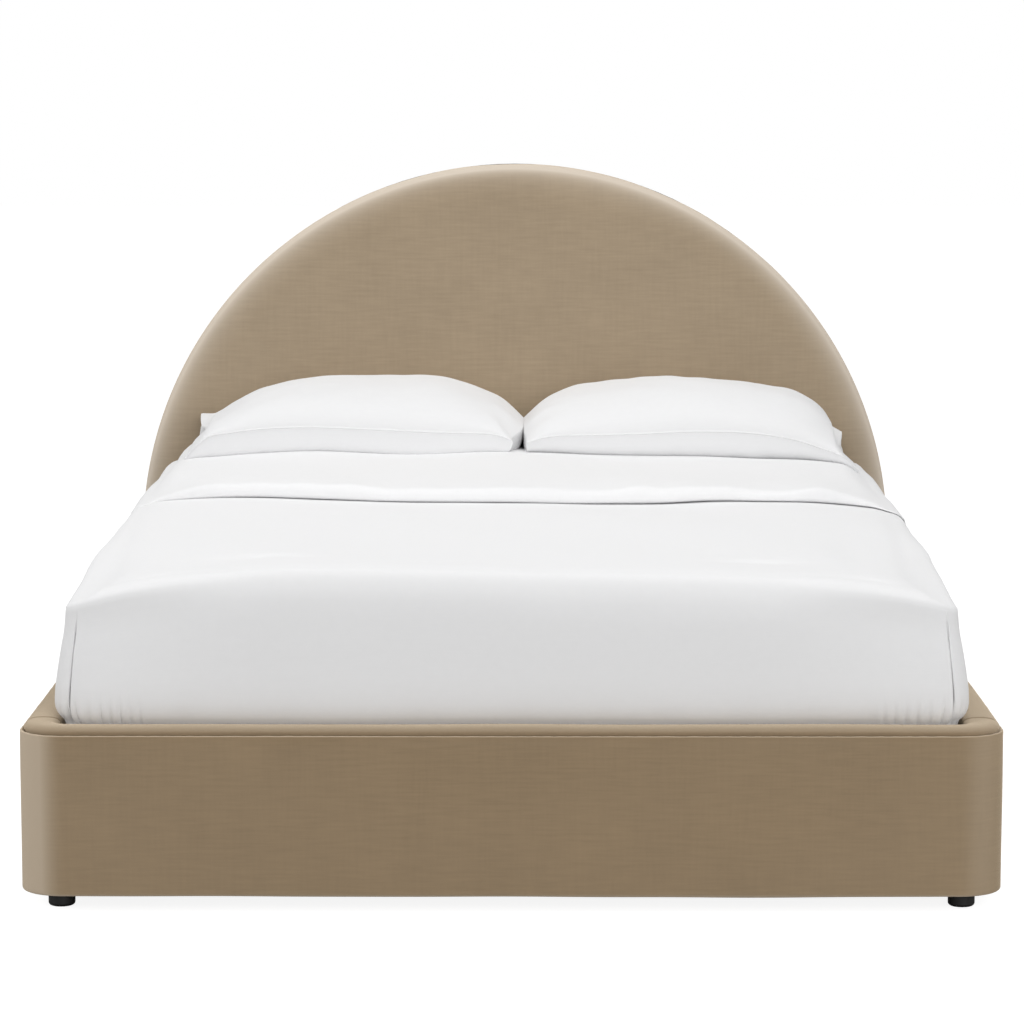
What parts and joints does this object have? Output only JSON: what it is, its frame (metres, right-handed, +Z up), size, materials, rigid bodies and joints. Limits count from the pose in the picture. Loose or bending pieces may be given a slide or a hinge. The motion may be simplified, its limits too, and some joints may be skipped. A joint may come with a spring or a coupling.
{
  "type": "upholstered platform bed",
  "caption": "Queen-size platform bed in velvet with a half-round headboard, slatted base, mattress, duvet and pillows.",
  "frame": {"origin": "on the floor, below the middle of the bed's footprint", "axes": "+Z up, -Y towards the foot end, +Y towards the headboard, +X to the right seen from the foot end"},
  "size_m": [1.676, 2.2, 1.207],
  "materials": {
    "velvet": "short-pile velvet",
    "foam": "open-cell foam",
    "plywood": "raw plywood",
    "pine": "planed, unfinished",
    "back_cloth": "spun-bonded cloth",
    "strap": "woven webbing",
    "steel": "zinc plated",
    "black_plastic": "moulded, matt",
    "mattress_fabric": "quilted knit",
    "cotton": "woven cotton",
    "pillow_filling": "down-proof cotton"
  },
  "bodies": {
    "frame": {"headboard_panel": "plywood", "headboard_post_left": "pine", "headboard_post_right": "pine", "headboard_arch": "plywood", "headboard_centre_stud": "pine", "headboard_middle_rail": "pine", "headboard_bottom_rail": "pine", "headboard_foam": "foam", "headboard_cover": "velvet", "headboard_border": "velvet", "headboard_back_cloth": "back_cloth", "footboard_board": "pine", "footboard_corner_left": "plywood", "footboard_corner_right": "plywood", "footboard_foam": "foam", "footboard_cover": "velvet", "footboard_top_cover": "velvet", "side_board_left": "pine", "side_board_right": "pine", "side_foam_left": "foam", "side_foam_right": "foam", "side_cover_left": "velvet", "side_cover_right": "velvet", "side_top_cover_left": "velvet", "side_top_cover_right": "velvet", "slat_ledge_left": "pine", "slat_ledge_right": "pine", "centre_beam": "pine", "beam_hangers": "steel", "centre_legs": "pine", "leg_glides": "black_plastic", "corner_blocks": "pine", "feet": "black_plastic", "foot_studs": "steel", "frame_bolts": "steel", "frame_screws": "steel", "slat_straps": "strap", "slat_01": "pine", "slat_02": "pine", "slat_03": "pine", "slat_04": "pine", "slat_05": "pine", "slat_06": "pine", "slat_07": "pine", "slat_08": "pine", "slat_09": "pine", "slat_10": "pine", "slat_11": "pine", "slat_12": "pine", "slat_13": "pine"},
    "mattress": {"mattress": "mattress_fabric", "fitted_sheet": "cotton"},
    "duvet": {"duvet": "cotton"},
    "pillow_left": {"pillow_left": "pillow_filling", "pillowcase_left": "cotton"},
    "pillow_right": {"pillow_right": "pillow_filling", "pillowcase_right": "cotton"}
  },
  "joints": [
    {"name": "mattress_lift", "type": "slide", "parent": "frame", "child": "mattress", "axis": [0, 0, 1], "range_m": [0, 0.45]},
    {"name": "duvet_lift", "type": "slide", "parent": "mattress", "child": "duvet", "axis": [0, 0, 1], "range_m": [0, 0.42]},
    {"name": "pillow_left_lift", "type": "slide", "parent": "duvet", "child": "pillow_left", "axis": [0, 0, 1], "range_m": [0, 0.3]},
    {"name": "pillow_right_lift", "type": "slide", "parent": "duvet", "child": "pillow_right", "axis": [0, 0, 1], "range_m": [0, 0.3]}
  ]
}
